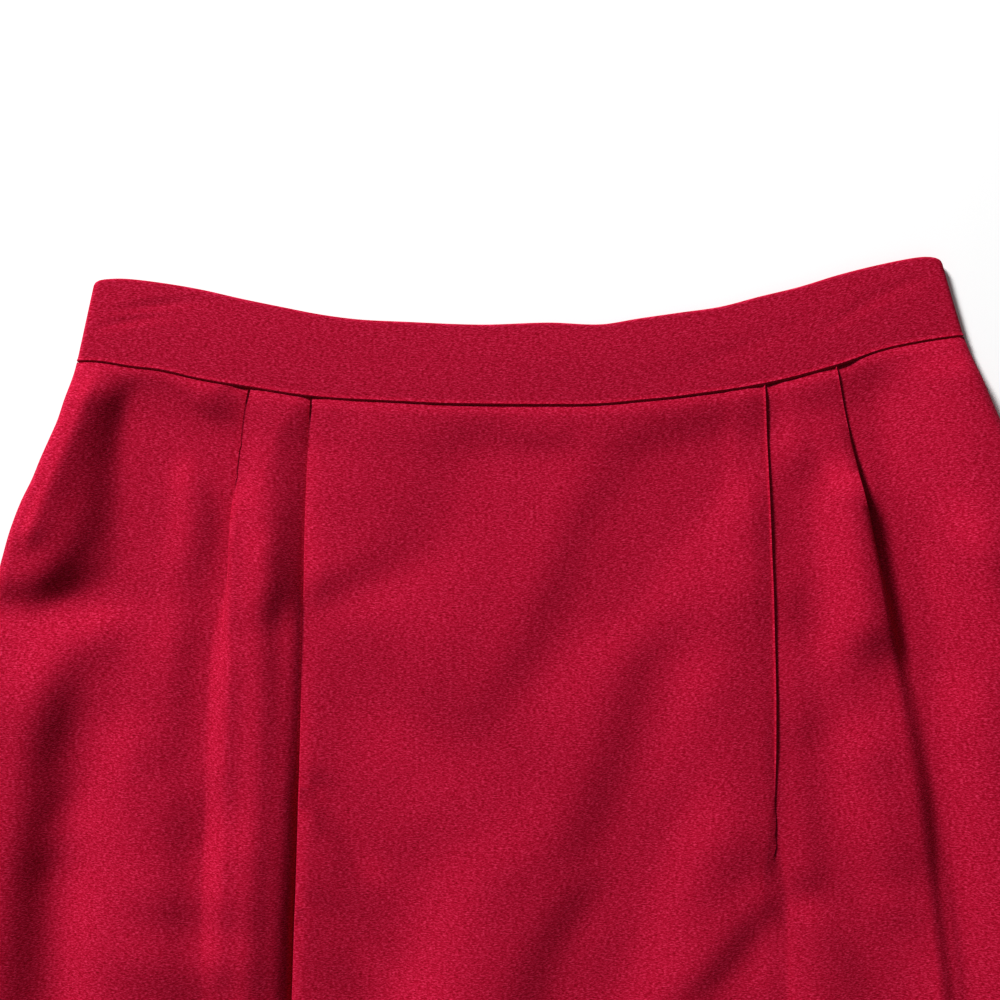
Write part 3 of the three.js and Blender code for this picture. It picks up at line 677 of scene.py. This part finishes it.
def bandRing(share, side):
    # One line along the strip, from the centre back round both ends and back to it.
    low, high, corner = band["low"], band["high"], band["cornerRound"]
    radius = (high - low) / 2
    past = max(0, share * band["height"] - band["height"] + corner)
    inset = corner - math.sqrt(max(0, corner ** 2 - past ** 2)) + band["wall"] / 2
    left = mix(*band["leftEnd"], share) + inset
    right = mix(*band["rightEnd"], share) - inset
    turn = np.pi * np.linspace(0, 1, band["turnSteps"])
    backLeft = np.linspace(-cloth["backGap"], left + radius, band["backSteps"], endpoint=False)
    front = np.linspace(left + radius, right - radius, band["frontSteps"] + 1)[1:-1]
    backRight = np.linspace(right - radius, cloth["backGap"], band["backSteps"] + 1)[1:]
    x = np.concatenate([
        backLeft, left + radius - radius * np.sin(turn), front, right - radius + radius * np.sin(turn), backRight,
    ])
    z = np.concatenate([
        np.full(len(backLeft), low), low + radius * (1 - np.cos(turn)), np.full(len(front), high),
        high - radius * (1 - np.cos(turn)), np.full(len(backRight), low),
    ])
    alongX, alongZ = np.gradient(x), np.gradient(z)
    length = np.hypot(alongX, alongZ)
    outX, outZ = -alongZ / length, alongX / length
    seamY = along(waistSeam, "x", "y", x) + band["seamGap"]
    y = mix(seamY, along(bandTop, "x", "y", x), share)
    isFront = z > high - 0.01
    bulge = np.where(isFront, (side > 0) * band["crown"] * math.sin(math.pi * share) + bandDents(x, share), 0)
    bulge = bulge * smooth((x - left) / band["endFade"]) * smooth((right - x) / band["endFade"])
    up = np.full(len(x), share * band["clothHeight"] + side)
    return x + outX * side, y, z + outZ * side + bulge, lengthAlong(x, z), up


def makeBand():
    grid = [np.array(part) for part in zip(*[bandRing(share, side) for share, side in bandSection()])]
    count, columns = grid[0].shape
    faces = quads(count, columns, closed=True)[:, [0, 3, 2, 1]].tolist()  # turned to face outwards
    faces.append([r * columns for r in range(count)])
    faces.append([r * columns + columns - 1 for r in reversed(range(count))])
    return makeCloth("waistbandCloth", grid, faces)


print("waistband")
bandCloth = makeBand()
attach(bandCloth, "root")
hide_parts("waistband")

crepe = {
    "grainColourAndPaintedLight": [  # where in the grain, colour: the darkest is painted shade in the crepe's pits, the palest a painted highlight on its raised yarn
        (0.33, (0.225, 0.0016, 0.0110)), (0.5, (0.375, 0.0052, 0.0330)), (0.69, (0.600, 0.0360, 0.1020)),
    ],
    "grainAcross": 850,  # grains per metre across the cloth
    "grainDown": 2450,
    "grain": {"Scale": 1.0, "Detail": 2, "Roughness": 0.55, "Distortion": 0.5},
    "pebble": {"Scale": 0.45, "Detail": 1.5},
    "pebbleShare": 0.16,  # how much of the coarser noise is mixed in
    "bump": {"Strength": 0.55, "Distance": 0.00022},  # its height in metres
    "surface": {
        "Roughness": 0.9, "Specular IOR Level": 0.08, "Sheen Weight": 0.06, "Sheen Roughness": 0.5,
        "Sheen Tint": (1.0, 0.1, 0.2, 1),
    },
    "bandTone": 0.98,  # the band's colour, against the panels'
}


def setInputs(node, values):
    for name, value in values.items():
        node.inputs[name].default_value = value
    return node


def makeCrepe(name, tone):
    material = bpy.data.materials.new(name)
    material.use_nodes = True
    nodes, links = material.node_tree.nodes, material.node_tree.links
    shader = setInputs(nodes["Principled BSDF"], crepe["surface"])
    uvMap = nodes.new("ShaderNodeUVMap")
    uvMap.uv_map = "cloth"
    stretch = setInputs(nodes.new("ShaderNodeMapping"), {"Scale": (crepe["grainAcross"], crepe["grainDown"], 1)})
    grain = setInputs(nodes.new("ShaderNodeTexNoise"), crepe["grain"])
    pebble = setInputs(nodes.new("ShaderNodeTexNoise"), crepe["pebble"])
    both = nodes.new("ShaderNodeMix")
    both.data_type = "FLOAT"
    both.inputs["Factor"].default_value = crepe["pebbleShare"]
    # painted shade and highlight: the noise that raises the bump also turns the grain darker in its pits and paler
    # pink on its rises
    ramp = nodes.new("ShaderNodeValToRGB")
    stops = ramp.color_ramp.elements
    stops.new(crepe["grainColourAndPaintedLight"][1][0])
    for stop, (place, colour) in zip(stops, crepe["grainColourAndPaintedLight"]):
        stop.position = place
        stop.color = [v * tone for v in colour] + [1]
    bump = setInputs(nodes.new("ShaderNodeBump"), crepe["bump"])
    links.new(uvMap.outputs["UV"], stretch.inputs["Vector"])
    links.new(stretch.outputs["Vector"], grain.inputs["Vector"])
    links.new(stretch.outputs["Vector"], pebble.inputs["Vector"])
    links.new(grain.outputs["Fac"], both.inputs["A"])
    links.new(pebble.outputs["Fac"], both.inputs["B"])
    links.new(both.outputs["Result"], ramp.inputs["Fac"])
    links.new(ramp.outputs["Color"], shader.inputs["Base Color"])
    links.new(both.outputs["Result"], bump.inputs["Height"])
    links.new(bump.outputs["Normal"], shader.inputs["Normal"])
    return material


print("crepe cloth")
panelCrepe = makeCrepe("panelCrepe", 1.0)
bandCrepe = makeCrepe("bandCrepe", crepe["bandTone"])
for piece in [frontCloth] + backCloths:
    piece.data.materials.append(panelCrepe)
bandCloth.data.materials.append(bandCrepe)

print("floor, light and camera")
stage = {
    "floorSize": 30,  # metres
    "floorDrop": 0.0002,  # metres under the skirt
    "floor": {"Base Color": (0.95, 0.95, 0.95, 1), "Roughness": 0.9},
    "keyWatts": 190,
    "keyPlace": (-1.9, 2.4, 1.78),  # metres from the middle of the view
    "keySize": 0.7,
    "fillWatts": 0.5,
    "fillPlace": (0.3, -0.9, 1.3),
    "fillSize": 1.2,
    "world": {"Color": (1, 1, 1, 1), "Strength": 0.12},
    "lens": 60,
    "sensorWidth": 36,
    "viewWidth": 0.390,  # metres across the picture
    "viewLevel": 0.006,  # metres up, where it is measured
    "viewCentre": (-15.2, -37.8),  # mm of the drawing
}
bpy.ops.mesh.primitive_plane_add(size=stage["floorSize"], location=(0, 0, -stage["floorDrop"]))
floor = bpy.context.object
floor.name = "floor"
floorMaterial = bpy.data.materials.new("paleFloor")
floorMaterial.use_nodes = True
setInputs(floorMaterial.node_tree.nodes["Principled BSDF"], stage["floor"])
floor.data.materials.append(floorMaterial)


def addLight(name, offset, watts, size, target):
    place = [a + b for a, b in zip(target, offset)]
    bpy.ops.object.light_add(type="AREA", location=place)
    light = bpy.context.object
    light.name = name
    light.data.energy = watts
    light.data.size = size
    direction = np.array(target) - np.array(place)
    light.rotation_euler = (
        math.atan2(math.hypot(direction[0], direction[1]), -direction[2]), 0,
        math.atan2(direction[1], direction[0]) - math.pi / 2,
    )


lookAt = ((stage["viewCentre"][0] + shift[0]) / 1000, (stage["viewCentre"][1] + shift[1]) / 1000, 0)
addLight("window", stage["keyPlace"], stage["keyWatts"], stage["keySize"], lookAt)
addLight("roomFill", stage["fillPlace"], stage["fillWatts"], stage["fillSize"], lookAt)
world = bpy.data.worlds.new("room")
bpy.context.scene.world = world
world.use_nodes = True
setInputs(world.node_tree.nodes["Background"], stage["world"])
bpy.context.scene.view_settings.view_transform = "Standard"
bpy.context.scene.view_settings.look = "Medium High Contrast"

viewHeight = stage["viewWidth"] * stage["lens"] / stage["sensorWidth"] + stage["viewLevel"]
bpy.ops.object.camera_add(location=(lookAt[0], lookAt[1], viewHeight))
camera = bpy.context.object
camera.data.lens = stage["lens"]
camera.data.sensor_width = stage["sensorWidth"]
bpy.context.scene.camera = camera
